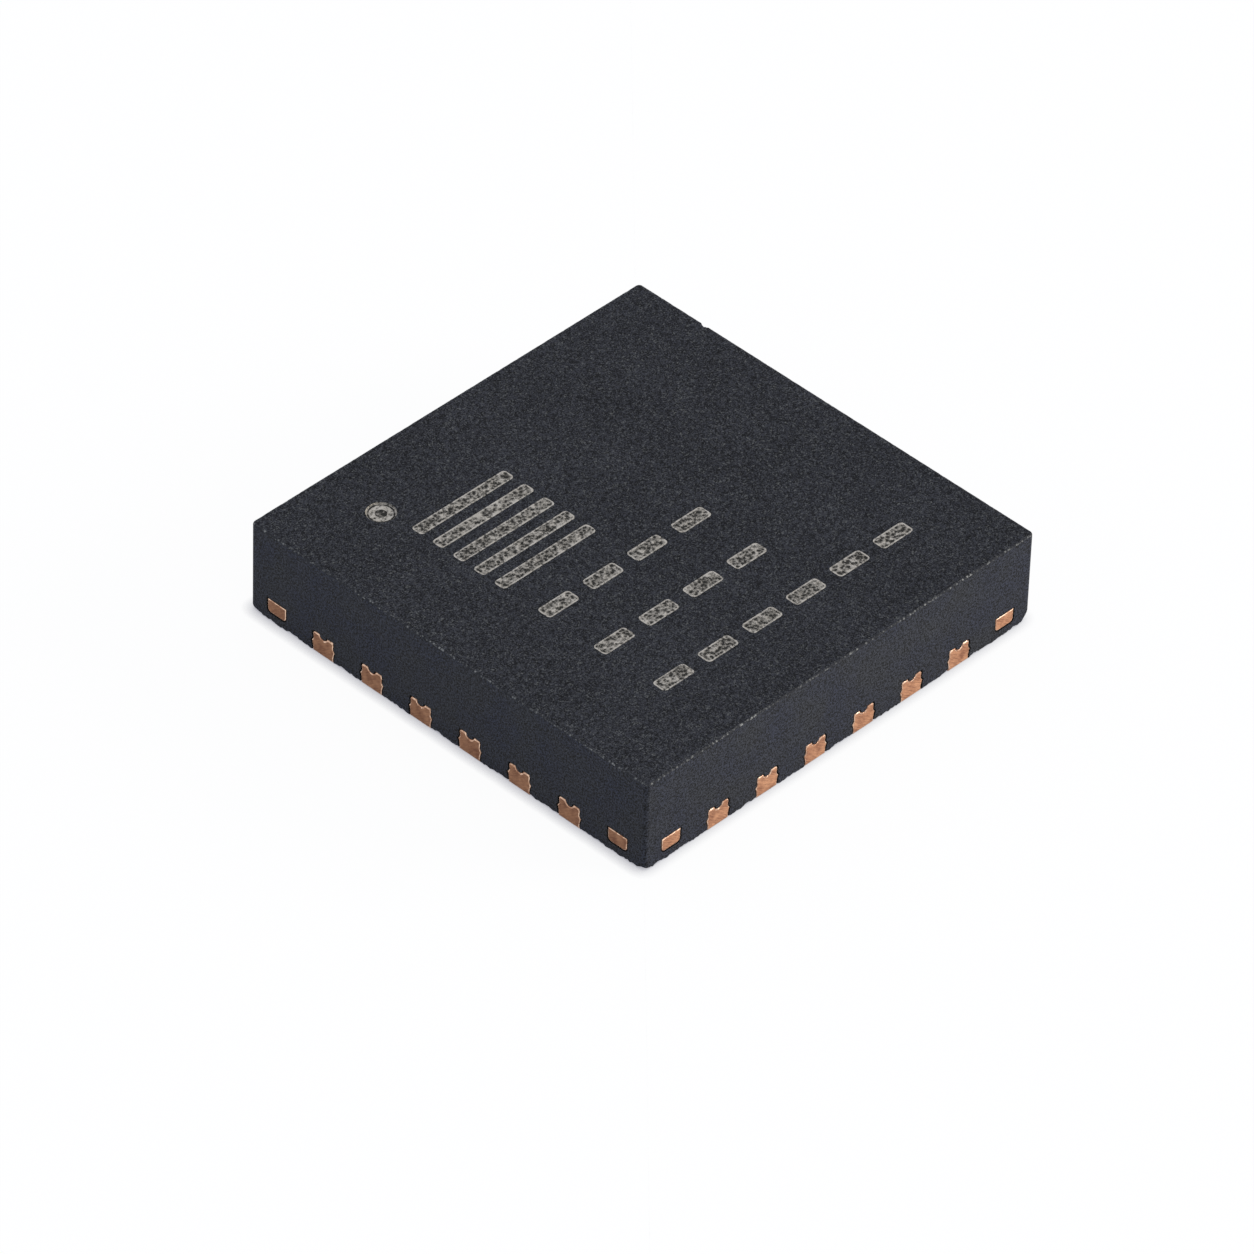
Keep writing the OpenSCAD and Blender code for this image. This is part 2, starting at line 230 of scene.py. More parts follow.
def epoxy_sawn():
    """The same epoxy cut by a diamond saw: finely mottled where grains were cut through or pulled out, in places a
    little blue, with faint level blade lines, and more broken grains close to the top edge."""
    material, tree, shader, place = start("silica_filled_epoxy_sawn")
    axes = add(tree, "ShaderNodeSeparateXYZ", {"Vector": place})
    along = add(tree, "ShaderNodeMath", {0: axes.outputs["X"], 1: axes.outputs["Y"]})
    # Blade lines are 3 micrometres apart, drawn at 12 so that they show
    level = add(tree, "ShaderNodeCombineXYZ", {"X": along.outputs[0], "Z": axes.outputs["Z"]})
    stretched = add(tree, "ShaderNodeMapping", {"Vector": level.outputs[0], "Scale": (0.1, 1.0, 1.0)})
    lines = add(tree, "ShaderNodeTexNoise", {"Vector": stretched.outputs[0], "Scale": per(0.012), "Detail": 2.0})
    # Mottling of 10 to 30 micrometres
    mottle = add(tree, "ShaderNodeTexNoise", {"Vector": place, "Scale": per(0.014), "Detail": 1.0, "Roughness": 0.6})
    # Cut silica grains of 15 to 40 micrometres
    grains = add(tree, "ShaderNodeTexVoronoi", {"Vector": place, "Scale": per(0.028), "Randomness": 1.0})
    spot = add(tree, "ShaderNodeMapRange", {"Value": grains.outputs["Distance"], FROM_A: 0.45, FROM_B: 0.15})
    some = add(tree, "ShaderNodeMapRange", {"Value": grains.outputs["Color"], FROM_A: 0.55, FROM_B: 1.0, TO_B: 0.35})
    high = add(tree, "ShaderNodeMapRange", {"Value": axes.outputs["Z"], FROM_A: (TOP - 0.35) * MM, FROM_B: TOP * MM,
                                            TO_A: 0.2, TO_B: 1.0})
    pale = add(tree, "ShaderNodeMath", {0: spot.outputs[0], 1: some.outputs[0]}, operation="MULTIPLY")
    pale = add(tree, "ShaderNodeMath", {0: pale.outputs[0], 1: high.outputs[0]}, operation="MULTIPLY")
    tone = add(tree, "ShaderNodeMix", {FACTOR: 0.75, NUMBER_A: lines.outputs["Fac"], NUMBER_B: mottle.outputs["Fac"]})
    dark = add(tree, "ShaderNodeMapRange", {"Value": tone.outputs[0], FROM_A: 0.39, FROM_B: 0.61})
    # Blue where the cut is smooth, over a few tenths of a millimetre
    smooth = add(tree, "ShaderNodeTexNoise", {"Vector": place, "Scale": per(0.3), "Detail": 2.0})
    blue = add(tree, "ShaderNodeMapRange", {"Value": smooth.outputs["Fac"], FROM_A: 0.35, FROM_B: 0.65})
    light = add(tree, "ShaderNodeMix", {FACTOR: blue.outputs[0], COLOUR_A: linear("#37393e"),
                                        COLOUR_B: linear("#333641")}, data_type="RGBA")
    cut = add(tree, "ShaderNodeMix", {FACTOR: dark.outputs[0], COLOUR_A: linear("#040405"),
                                      COLOUR_B: light.outputs[COLOUR]}, data_type="RGBA")
    # Painted shade: the cut is darker towards the foot
    low = add(tree, "ShaderNodeMapRange", {"Value": axes.outputs["Z"], FROM_A: FOOT * MM, FROM_B: (FOOT + 0.5) * MM,
                                           TO_A: 0.89, TO_B: 1.0})
    cut = add(tree, "ShaderNodeMix", {FACTOR: 1.0, COLOUR_A: cut.outputs[COLOUR], COLOUR_B: low.outputs[0]},
              data_type="RGBA", blend_type="MULTIPLY")
    cut = add(tree, "ShaderNodeMix", {FACTOR: pale.outputs[0], COLOUR_A: cut.outputs[COLOUR],
                                      COLOUR_B: linear("#6d6d6e")}, data_type="RGBA")
    relief = add(tree, "ShaderNodeBump", {"Height": tone.outputs[0], "Strength": 1.0, "Distance": 0.003 * MM})
    gloss = add(tree, "ShaderNodeMapRange", {"Value": lines.outputs["Fac"], FROM_A: 0.3, FROM_B: 0.7,
                                             TO_A: 0.6, TO_B: 0.75})
    feed(tree, shader, {"Base Color": cut.outputs[COLOUR], "Roughness": gloss.outputs[0],
                        "Normal": relief.outputs[0], "Specular IOR Level": 0.15, "IOR": EPOXY_IOR})
    return material


def epoxy_chipped():
    """Epoxy broken along the saw's top edge: dark, dotted with pale grains of silica that the break laid open."""
    material, tree, shader, place = start("silica_filled_epoxy_chipped")
    # Broken grains of about 10 micrometres, one every 20 or so
    grains = add(tree, "ShaderNodeTexVoronoi", {"Vector": place, "Scale": per(0.019), "Randomness": 1.0})
    spot = add(tree, "ShaderNodeMapRange", {"Value": grains.outputs["Distance"], FROM_A: 0.6, FROM_B: 0.25})
    some = add(tree, "ShaderNodeMapRange", {"Value": grains.outputs["Color"], FROM_A: 0.15, FROM_B: 0.85})
    pale = add(tree, "ShaderNodeMath", {0: spot.outputs[0], 1: some.outputs[0]}, operation="MULTIPLY")
    # The edge broke in stretches of a few tenths of a millimetre
    stretch = add(tree, "ShaderNodeTexNoise", {"Vector": place, "Scale": per(0.35), "Detail": 2.0})
    broken = add(tree, "ShaderNodeMapRange", {"Value": stretch.outputs["Fac"], FROM_A: 0.35, FROM_B: 0.6,
                                              TO_A: 0.4, TO_B: 0.8})
    pale = add(tree, "ShaderNodeMath", {0: pale.outputs[0], 1: broken.outputs[0]}, operation="MULTIPLY")
    skin = add(tree, "ShaderNodeMix", {FACTOR: pale.outputs[0], COLOUR_A: linear("#26272a"),
                                       COLOUR_B: linear("#94948d")}, data_type="RGBA")
    relief = add(tree, "ShaderNodeBump", {"Height": grains.outputs["Distance"], "Strength": 1.0,
                                          "Distance": 0.003 * MM})
    feed(tree, shader, {"Base Color": skin.outputs[COLOUR], "Normal": relief.outputs[0], "Roughness": 0.75,
                        "Specular IOR Level": 0.15, "IOR": EPOXY_IOR})
    return material


def epoxy_gap_shade_painted():
    """Painted shade in the gap along the copper: a thin black line with a dull skin."""
    material, tree, shader, place = start("epoxy_painted_gap_shade_line")
    # Unevenness of about 20 micrometres
    skin = add(tree, "ShaderNodeTexNoise", {"Vector": place, "Scale": per(0.02), "Detail": 2.0})
    black = add(tree, "ShaderNodeMix", {FACTOR: skin.outputs["Fac"], COLOUR_A: linear("#040404"),
                                        COLOUR_B: linear("#141110")}, data_type="RGBA")
    feed(tree, shader, {"Base Color": black.outputs[COLOUR], "Roughness": 0.8, "Specular IOR Level": 0.05,
                        "IOR": EPOXY_IOR})
    return material


def epoxy_lasered(name, least, most):
    """Epoxy skin burnt by a marking laser: the resin foams to a pale warm grey, in grains and short shards with
    black left between them. The lower the two limits, the more of it is foamed."""
    material, tree, shader, place = start(name)
    # Foamed grains of about 15 micrometres, and shards twice as long
    grain = add(tree, "ShaderNodeTexNoise", {"Vector": place, "Scale": per(0.02), "Detail": 2.0, "Roughness": 0.7,
                                             "Distortion": 1.0})
    shard = add(tree, "ShaderNodeTexVoronoi", {"Vector": place, "Scale": per(0.03), "Randomness": 1.0})
    both = add(tree, "ShaderNodeMix", {FACTOR: 0.35, NUMBER_A: grain.outputs["Fac"],
                                       NUMBER_B: shard.outputs["Distance"]})
    foam = add(tree, "ShaderNodeMapRange", {"Value": both.outputs[0], FROM_A: least, FROM_B: most})
    # Warmer and cooler patches of a tenth of a millimetre
    warm = add(tree, "ShaderNodeTexNoise", {"Vector": place, "Scale": per(0.08), "Detail": 2.0})
    pale = add(tree, "ShaderNodeMix", {FACTOR: warm.outputs["Fac"], COLOUR_A: linear("#958e7f"),
                                       COLOUR_B: linear("#bcb6aa")}, data_type="RGBA")
    burnt = add(tree, "ShaderNodeMix", {FACTOR: foam.outputs[0], COLOUR_A: linear("#1f1e1b"),
                                        COLOUR_B: pale.outputs[COLOUR]}, data_type="RGBA")
    relief = add(tree, "ShaderNodeBump", {"Height": foam.outputs[0], "Strength": 1.0, "Distance": 0.004 * MM})
    feed(tree, shader, {"Base Color": burnt.outputs[COLOUR], "Normal": relief.outputs[0], "Roughness": 0.85,
                        "Specular IOR Level": 0.2, "IOR": EPOXY_IOR})
    return material


def copper_sawn():
    """Copper alloy cut by the saw with the epoxy: bare reddish metal, dragged level by the blade so that it shines in
    an upright band, finely streaked, duller and browner in patches where it has begun to tarnish."""
    material, tree, shader, place = start("copper_alloy_sawn")
    axes = add(tree, "ShaderNodeSeparateXYZ", {"Vector": place})
    along = add(tree, "ShaderNodeMath", {0: axes.outputs["X"], 1: axes.outputs["Y"]})
    flat = add(tree, "ShaderNodeCombineXYZ", {"X": along.outputs[0], "Y": axes.outputs["Z"]})
    # Streaks a few micrometres wide, drawn at 10 so that they show, and a tenth of a millimetre long, slanting
    turned = add(tree, "ShaderNodeMapping", {"Vector": flat.outputs[0], "Rotation": (0, 0, math.radians(35))})
    drawn = add(tree, "ShaderNodeMapping", {"Vector": turned.outputs[0], "Scale": (0.12, 1.0, 1.0)})
    streak = add(tree, "ShaderNodeTexNoise", {"Vector": drawn.outputs[0], "Scale": per(0.010), "Detail": 2.0})
    # Tarnish in patches of a few hundredths of a millimetre
    patch = add(tree, "ShaderNodeTexNoise", {"Vector": place, "Scale": per(0.07), "Detail": 2.0})
    both = add(tree, "ShaderNodeMath", {0: streak.outputs["Fac"], 1: patch.outputs["Fac"]})
    tone = add(tree, "ShaderNodeMapRange", {"Value": both.outputs[0], FROM_A: 0.7, FROM_B: 1.3})
    metal = add(tree, "ShaderNodeMix", {FACTOR: tone.outputs[0], COLOUR_A: linear("#724e3d"),
                                        COLOUR_B: linear("#a1795f")}, data_type="RGBA")
    gloss = add(tree, "ShaderNodeMapRange", {"Value": streak.outputs["Fac"], FROM_A: 0.3, FROM_B: 0.7,
                                             TO_A: 0.5, TO_B: 0.65})
    relief = add(tree, "ShaderNodeBump", {"Height": streak.outputs["Fac"], "Strength": 1.0, "Distance": 0.0008 * MM})
    level = add(tree, "ShaderNodeTangent", direction_type="RADIAL", axis="Z")
    feed(tree, shader, {"Base Color": metal.outputs[COLOUR], "Roughness": gloss.outputs[0],
                        "Normal": relief.outputs[0], "Tangent": level.outputs[0], "Metallic": 1.0,
                        "Anisotropic": 0.8, "Anisotropic Rotation": 0.25})
    return material


def copper_rim_painted_highlight():
    """The rim of a sawn copper end, rubbed glossy by the blade: a thin uneven line painted brighter as its highlight.
    """
    material, tree, shader, place = start("copper_alloy_rim_painted_highlight")
    # The painted highlight and the rubbed gloss vary in stretches of a few hundredths of a millimetre
    highlight_stretch = add(tree, "ShaderNodeTexNoise", {"Vector": place, "Scale": per(0.03), "Detail": 2.0})
    tone = add(tree, "ShaderNodeMapRange", {"Value": highlight_stretch.outputs["Fac"], FROM_A: 0.35, FROM_B: 0.65})
    metal = add(tree, "ShaderNodeMix", {FACTOR: tone.outputs[0], COLOUR_A: linear("#a37a62"),
                                        COLOUR_B: linear("#e8c8b0")}, data_type="RGBA")
    gloss = add(tree, "ShaderNodeMapRange", {"Value": highlight_stretch.outputs["Fac"], FROM_A: 0.3, FROM_B: 0.7,
                                             TO_A: 0.45, TO_B: 0.3})
    feed(tree, shader, {"Base Color": metal.outputs[COLOUR], "Roughness": gloss.outputs[0], "Metallic": 1.0})
    return material


def copper_etched():
    """Copper alloy sheet shaped by etching: satin red metal with a fine pitted skin."""
    material, tree, shader, place = start("copper_alloy_etched")
    # Etch pits of about 15 micrometres
    pits = add(tree, "ShaderNodeTexNoise", {"Vector": place, "Scale": per(0.015), "Detail": 3.0, "Roughness": 0.65})
    tone = add(tree, "ShaderNodeMapRange", {"Value": pits.outputs["Fac"], FROM_A: 0.35, FROM_B: 0.65})
    metal = add(tree, "ShaderNodeMix", {FACTOR: tone.outputs[0], COLOUR_A: linear("#a2603f"),
                                        COLOUR_B: linear("#c98f66")}, data_type="RGBA")
    gloss = add(tree, "ShaderNodeMapRange", {"Value": pits.outputs["Fac"], FROM_A: 0.3, FROM_B: 0.7,
                                             TO_A: 0.55, TO_B: 0.4})
    relief = add(tree, "ShaderNodeBump", {"Height": pits.outputs["Fac"], "Strength": 1.0, "Distance": 0.002 * MM})
    feed(tree, shader, {"Base Color": metal.outputs[COLOUR], "Roughness": gloss.outputs[0],
                        "Normal": relief.outputs[0], "Metallic": 1.0})
    return material


def tin_plated():
    """Matt tin, electroplated ten micrometres thick: pale silver grey with a soft crystalline grain and the odd dull
    patch from handling."""
    material, tree, shader, place = start("matt_tin_electroplated")
    # Tin grains are 3 to 8 micrometres, drawn at 12 so that they show
    grain = add(tree, "ShaderNodeTexVoronoi", {"Vector": place, "Scale": per(0.012), "Randomness": 1.0})
    dull = add(tree, "ShaderNodeTexNoise", {"Vector": place, "Scale": per(0.25), "Detail": 4.0})
    tone = add(tree, "ShaderNodeMath", {0: grain.outputs["Distance"], 1: dull.outputs["Fac"]})
    tone = add(tree, "ShaderNodeMapRange", {"Value": tone.outputs[0], FROM_A: 0.5, FROM_B: 1.4})
    metal = add(tree, "ShaderNodeMix", {FACTOR: tone.outputs[0], COLOUR_A: linear("#d3d2cd"),
                                        COLOUR_B: linear("#a9a8a4")}, data_type="RGBA")
    gloss = add(tree, "ShaderNodeMapRange", {"Value": dull.outputs["Fac"], FROM_A: 0.3, FROM_B: 0.7,
                                             TO_A: 0.38, TO_B: 0.55})
    relief = add(tree, "ShaderNodeBump", {"Height": grain.outputs["Distance"], "Strength": 1.0,
                                          "Distance": 0.0015 * MM})
    feed(tree, shader, {"Base Color": metal.outputs[COLOUR], "Roughness": gloss.outputs[0],
                        "Normal": relief.outputs[0], "Metallic": 1.0})
    return material


def silicon_ground():
    """Silicon ground thin from the back and sawn: dark blue-grey, half-mirror, with fine straight grinding lines."""
    material, tree, shader, place = start("silicon_ground")
    # Grinding lines are a micrometre apart, drawn at 8 so that they show
    drawn = add(tree, "ShaderNodeMapping", {"Vector": place, "Rotation": (0, 0, math.radians(20)),
                                            "Scale": (0.02, 1.0, 1.0)})
    lines = add(tree, "ShaderNodeTexNoise", {"Vector": drawn.outputs[0], "Scale": per(0.008), "Detail": 1.0})
    tone = add(tree, "ShaderNodeMix", {FACTOR: lines.outputs["Fac"], COLOUR_A: linear("#4c5058"),
                                       COLOUR_B: linear("#7b8088")}, data_type="RGBA")
    gloss = add(tree, "ShaderNodeMapRange", {"Value": lines.outputs["Fac"], FROM_A: 0.3, FROM_B: 0.7,
                                             TO_A: 0.18, TO_B: 0.32})
    feed(tree, shader, {"Base Color": tone.outputs[COLOUR], "Roughness": gloss.outputs[0], "Metallic": 0.9})
    return material


def adhesive_silver():
    """Epoxy filled with silver flake, dispensed and cured: dull light grey with flat bright flakes."""
    material, tree, shader, place = start("silver_filled_adhesive_cured")
    # Flakes of about 10 micrometres
    flakes = add(tree, "ShaderNodeTexVoronoi", {"Vector": place, "Scale": per(0.01), "Randomness": 1.0})
    tone = add(tree, "ShaderNodeMapRange", {"Value": flakes.outputs["Distance"], FROM_A: 0.1, FROM_B: 0.7})
    metal = add(tree, "ShaderNodeMix", {FACTOR: tone.outputs[0], COLOUR_A: linear("#c4c4c0"),
                                        COLOUR_B: linear("#8d8d8a")}, data_type="RGBA")
    gloss = add(tree, "ShaderNodeMapRange", {"Value": tone.outputs[0], TO_A: 0.4, TO_B: 0.7})
    feed(tree, shader, {"Base Color": metal.outputs[COLOUR], "Roughness": gloss.outputs[0], "Metallic": 0.7})
    return material


def gold_drawn():
    """Fine gold wire, drawn through a die: bright yellow metal with faint draw lines."""
    material, tree, shader, place = start("gold_wire_drawn")
    # Draw lines are a micrometre apart, drawn at 6 so that they show
    lines = add(tree, "ShaderNodeTexNoise", {"Vector": place, "Scale": per(0.006), "Detail": 1.0})
    metal = add(tree, "ShaderNodeMix", {FACTOR: lines.outputs["Fac"], COLOUR_A: linear("#c8973a"),
                                        COLOUR_B: linear("#e8bf66")}, data_type="RGBA")
    gloss = add(tree, "ShaderNodeMapRange", {"Value": lines.outputs["Fac"], FROM_A: 0.3, FROM_B: 0.7,
                                             TO_A: 0.18, TO_B: 0.3})
    feed(tree, shader, {"Base Color": metal.outputs[COLOUR], "Roughness": gloss.outputs[0], "Metallic": 1.0})
    return material


moulded = epoxy_moulded()
sawn = epoxy_sawn()
chipped = epoxy_chipped()
painted_gap_shade = epoxy_gap_shade_painted()
laser_fill = epoxy_lasered("epoxy_laser_foamed", 0.43, 0.66)
laser_line = epoxy_lasered("epoxy_laser_scribed", 0.30, 0.53)
laser_burnt = epoxy_lasered("epoxy_laser_burnt", 0.52, 0.80)
bare_copper = copper_sawn()
rim_highlight_copper = copper_rim_painted_highlight()
etched_copper = copper_etched()
tin = tin_plated()
silicon = silicon_ground()
adhesive = adhesive_silver()
gold = gold_drawn()

COPPER = [etched_copper, bare_copper, rim_highlight_copper, tin]

# Widths and finishes of the rings in the round mark, from its wall inwards
DOT_RINGS = [(0.010, laser_line), (0.014, laser_burnt), (0.045, laser_line)]


def in_scene(name, data):
    """A new object in the scene."""
    made = bpy.data.objects.new(name, data)
    bpy.context.scene.collection.objects.link(made)
    return made


def as_object(bm, name, materials):
    """The finished mesh as an object with its materials."""
    mesh = bpy.data.meshes.new(name)
    bm.to_mesh(mesh)
    bm.free()
    for material in materials:
        mesh.materials.append(material)
    return in_scene(name, mesh)


def merged(node):
    """A CAD node's mesh in millimetres: its loose triangles merged, then joined where they lie in one plane."""
    bm = bmesh.new()
    bm.from_mesh(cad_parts[node].data)
    bmesh.ops.scale(bm, verts=bm.verts, vec=Vector((1, 1, 1)) / MM)
    bmesh.ops.remove_doubles(bm, verts=bm.verts, dist=SAME_POINT)
    bmesh.ops.dissolve_limit(bm, angle_limit=SAME_PLANE, verts=bm.verts, edges=bm.edges)
    return bm


def piece(bm, name, materials, replaced=None):
    """The finished mesh as a piece of the package, in place of its CAD node where it has one."""
    bmesh.ops.triangulate(bm, faces=[f for f in bm.faces if len(f.verts) > 4])
    bmesh.ops.dissolve_degenerate(bm, dist=SLIVER, edges=bm.edges)
    bmesh.ops.scale(bm, verts=bm.verts, vec=Vector((1, 1, 1)) * MM)
    made = as_object(bm, name, materials)
    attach(made, "root")
    if replaced:
        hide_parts(replaced)
    return made


def soften(bm, edges, width):
    """Rounds edges over with two small facets, and gives those facets."""
    made = bmesh.ops.bevel(bm, geom=list(edges), offset=width, offset_type="OFFSET", segments=2, profile=0.5,
                           affect="EDGES", material=-1, clamp_overlap=False)
    return made["faces"]


def at(value, wanted, slack=0.0005):
    """True where a length is the wanted one, apart from rounding."""
    return abs(value - wanted) < slack


def reach(point):
    """How far a point lies from the middle, towards the side that it is nearest to."""
    return max(abs(point.x), abs(point.y))


def outer(point):
    """True on the sawn sides and the rounded upright edges between them."""
    return reach(point) > HALF - UPRIGHT_ROUND * 1.1


def outward(point):
    """The direction that faces out of the package at a point of its outline."""
    flat = HALF - UPRIGHT_ROUND
    away = [v - max(-flat, min(flat, v)) for v in (point.x, point.y)]
    return Vector((*away, 0)).normalized()


def on_side(f):
    """True for a face that lies in one of the four sawn sides."""
    return abs(f.normal.z) < UPRIGHT and all(at(reach(v.co), HALF) for v in f.verts)


def outline(bm, height):
    """The edges of the package's outline at its top or its foot."""
    return [e for e in bm.edges if all(at(v.co.z, height) and outer(v.co) for v in e.verts)
            and any(abs(f.normal.z) < STANDING for f in e.link_faces)]


def chip_depth(point, chips):
    """How deep the deepest chip at this point of the outline goes."""
    depth = 0
    for place, width, deep in chips:
        away = (point.to_2d() - place).length
        if away < width:
            depth = max(depth, deep * (1 - (away / width) ** 2))
    return depth


def mould():
    """The body: painted shade along the copper, a chipped top edge, a ragged foot, and the round mark."""
    rng = random.Random(SEED)
    finishes = [moulded, sawn, chipped, painted_gap_shade, laser_line, laser_burnt]
    bm = merged("mould_body")

    # Along the copper the mould's edge is softened, and painted black as the shade of the gap there
    pockets = [e for e in bm.edges if sum(on_side(f) for f in e.link_faces) == 1 and e.calc_length() < POCKET_EDGE
               and not any(all(at(v.co.z, height) for v in e.verts) for height in (FOOT, TOP))]
    for f in soften(bm, pockets, GAP_SHADE_ROUND):
        f.material_index = finishes.index(painted_gap_shade)

    # A strip on each side of the top edge keeps the chips out of the flat faces
    bmesh.ops.bisect_plane(bm, geom=bm.verts[:] + bm.edges[:] + bm.faces[:], dist=0.00001,
                           plane_co=UP * (TOP - BAND), plane_no=UP)
    lid = [f for f in bm.faces if f.normal.z > LEVEL and at(f.calc_center_median().z, TOP)]
    bmesh.ops.inset_region(bm, faces=lid, thickness=BAND, use_boundary=True, use_even_offset=True)
    strip = [e for e in bm.edges if e.calc_length() > 1
             and all(v.co.z > TOP - BAND * 1.01 and reach(v.co) > HALF - BAND * 1.5 for v in e.verts)]
    bmesh.ops.subdivide_edges(bm, edges=strip, cuts=int(2 * HALF / RIM_STEP))

    # Chips: many small ones, and one that shows as a nick
    chips = [NICK]
    for side in SIDES:
        for _ in range(CHIPS_PER_SIDE):
            centre = side * HALF + UP.cross(side) * rng.uniform(-HALF, HALF)
            chips.append((centre.to_2d(), rng.uniform(*CHIP_WIDTH), rng.uniform(*CHIP_DEPTH)))
    rim = outline(bm, TOP)
    for v in {v for e in rim for v in e.verts}:
        depth = RIM_UNEVEN * (1 + noise.noise(v.co / RIM_WAVE)) + chip_depth(v.co, chips)
        v.co -= (outward(v.co) + UP) * depth * CHIP_SLOPE
    for f in soften(bm, rim, RIM_ROUND):
        f.material_index = finishes.index(chipped)
    for v in bm.verts:
        v.co.z = min(v.co.z, TOP)

    # The foot is ragged between the leads and worn round at the four corners
    foot = outline(bm, FOOT)
    held = {v for v in bm.verts if at(v.co.z, FOOT)}
    for edge in foot:
        cuts = int(edge.calc_length() / FOOT_STEP) - 1
        if cuts > 0:
            bmesh.ops.subdivide_edges(bm, edges=[edge], cuts=cuts)
    for v in [v for v in bm.verts if at(v.co.z, FOOT) and outer(v.co)]:
        away = Vector((abs(v.co.x) - HALF, abs(v.co.y) - HALF)).length
        wave = sum(noise.noise(v.co / length) for length in FOOT_WAVES)
        ragged = 0 if v in held and away > FOOT_HELD else max(-FOOT_DROP, FOOT_RAGGED * wave)
        v.co.z += ragged + FOOT_WEAR[v.co.x > 0, v.co.y > 0] * math.exp(-(away / WEAR_REACH) ** 2)

    # The round mark: its wall and two rings that the laser drew on its floor, burnt dark between and within them
    floor = [f for f in bm.faces if f.normal.z > LEVEL
             and TOP - DOT_LOW < f.calc_center_median().z < TOP - DOT_HIGH
             and reach(f.calc_center_median()) < HALF - DOT_CLEAR]
    for f in {f for part in floor for e in part.edges for f in e.link_faces}.difference(floor):
        f.material_index = finishes.index(laser_line)
    for width, finish in DOT_RINGS:
        ring = bmesh.ops.inset_region(bm, faces=floor, thickness=width, use_boundary=True, use_even_offset=True)
        for f in ring["faces"]:
            f.material_index = finishes.index(finish)
    for f in floor:
        f.material_index = finishes.index(laser_burnt)

    # All that is left of the outer faces was sawn
    bm.normal_update()
    for f in bm.faces:
        if f.material_index == 0 and abs(f.normal.z) < LEVEL and outer(f.calc_center_median()):
            f.material_index = finishes.index(sawn)
    return piece(bm, "sawn_mould_body", finishes, "mould_body")


def sawn_faces(bm, side):
    """The faces of a copper piece that the saw cut on one side."""
    return [f for f in bm.faces if f.normal.dot(side) > SQUARE and at(f.calc_center_median().dot(side), HALF)]


def finish_copper(bm, sides):
    """Softens the sawn ends and the tinned lands, and gives each face its finish."""
    rims = soften(bm, {e for side in sides for f in sawn_faces(bm, side) for e in f.edges}, COPPER_ROUND)
    # The softened rims of the sawn ends get the painted highlight
    for f in rims:
        f.material_index = COPPER.index(rim_highlight_copper)
    lands = {f for f in bm.faces if f.normal.z < -SQUARE and at(f.calc_center_median().z, 0)}
    soften(bm, {e for f in lands for e in f.edges if not lands.issuperset(e.link_faces)
                and all(reach(v.co) < HALF - SAW_MARGIN for v in e.verts)}, LAND_ROUND)
    bm.normal_update()
    for f in bm.faces:
        middle = f.calc_center_median()
        if at(reach(middle), HALF):
            f.material_index = COPPER.index(bare_copper)
        elif f.material_index == 0 and middle.z < TIN_TOP:
            f.material_index = COPPER.index(tin)


def lead(number):
    """One lead, with a crown of its own at the sawn end: the etch and the saw leave no two horns quite alike."""
    rng = random.Random(SEED + number)
    node = f"lead_{number:02d}"
    side = SIDES[(number - 1) // LEADS_PER_SIDE]
    across = UP.cross(side)
    low, high = (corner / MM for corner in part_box(node))
    middle = (low + high) / 2
    bm = merged(node)
    left, right, dip = (rng.uniform(0, CROWN_PLAY) for _ in range(3))
    crown = [v for f in sawn_faces(bm, side) for v in f.verts if v.co.z > CROWN_LOW]
    for v in crown:
        where = (v.co - middle).dot(across)
        lower = left if where < 0 else right
        v.co.z -= (lower * max(0, (v.co.z - HORN_LOW) / HORN_RISE)
                   + dip * max(0, 1 - abs(where) / VALLEY_HALF))
    for _ in range(CROWN_PASSES):
        bmesh.ops.smooth_vert(bm, verts=crown, factor=CROWN_SMOOTH, use_axis_x=side.x == 0,
                              use_axis_y=side.y == 0, use_axis_z=True)
    finish_copper(bm, [side])
    return piece(bm, f"sawn_lead_{number:02d}", COPPER, node)


def paddle():
    """The die paddle: tinned below, with sawn tie-bar ends on all four sides."""
    bm = merged("die_paddle")
    finish_copper(bm, SIDES)
    return piece(bm, "tinned_die_paddle", COPPER, "die_paddle")


def bar_mark(bm, x, y, length, width):
    """One plain laser-filled bar on the top face, its middle at x, y."""
    depth = MARK_PROUD + MARK_ROOT
    place = Matrix.Translation((x, y, TOP + MARK_PROUD - depth / 2))
    made = bmesh.ops.create_cube(bm, size=1, matrix=place @ Matrix.Diagonal((length, width, depth, 1)))
    upright = {e for v in made["verts"] for e in v.link_edges if at(e.calc_length(), depth)}
    bmesh.ops.bevel(bm, geom=list(upright), offset=MARK_ROUND, offset_type="OFFSET", segments=4, profile=0.5,
                    affect="EDGES", material=-1, clamp_overlap=True)


def marks():
    """Plain stripes and rows of plain bars where a package carries its laser marking."""
    finishes = [laser_fill, laser_line]
    bm = bmesh.new()
    for k in range(STRIPES):
        bar_mark(bm, STRIPE_X, STRIPE_Y + STRIPE_STEP * k, *STRIPE_SIZE)
    for first, count, y in BAR_ROWS:
        for k in range(count):
            bar_mark(bm, first + BAR_STEP * k, y, *BAR_SIZE)
    bm.normal_update()
    tops = [f for f in bm.faces if f.normal.z > LEVEL]
    for f in bm.faces:
        f.material_index = finishes.index(laser_line)
    bmesh.ops.inset_individual(bm, faces=tops, thickness=MARK_LINE, use_even_offset=True)
    for f in tops:
        f.material_index = finishes.index(laser_fill)
    return piece(bm, "laser_row_marks", finishes)


mould()
paddle()
for number in range(1, len(SIDES) * LEADS_PER_SIDE + 1):
    lead(number)
marks()

# What the mould hides keeps its CAD shape
inside = {"die": silicon, "die_attach": adhesive}
inside.update({name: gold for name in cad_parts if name.startswith("bond_wire_")})
for name, material in inside.items():
    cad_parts[name].material_slots[0].material = material


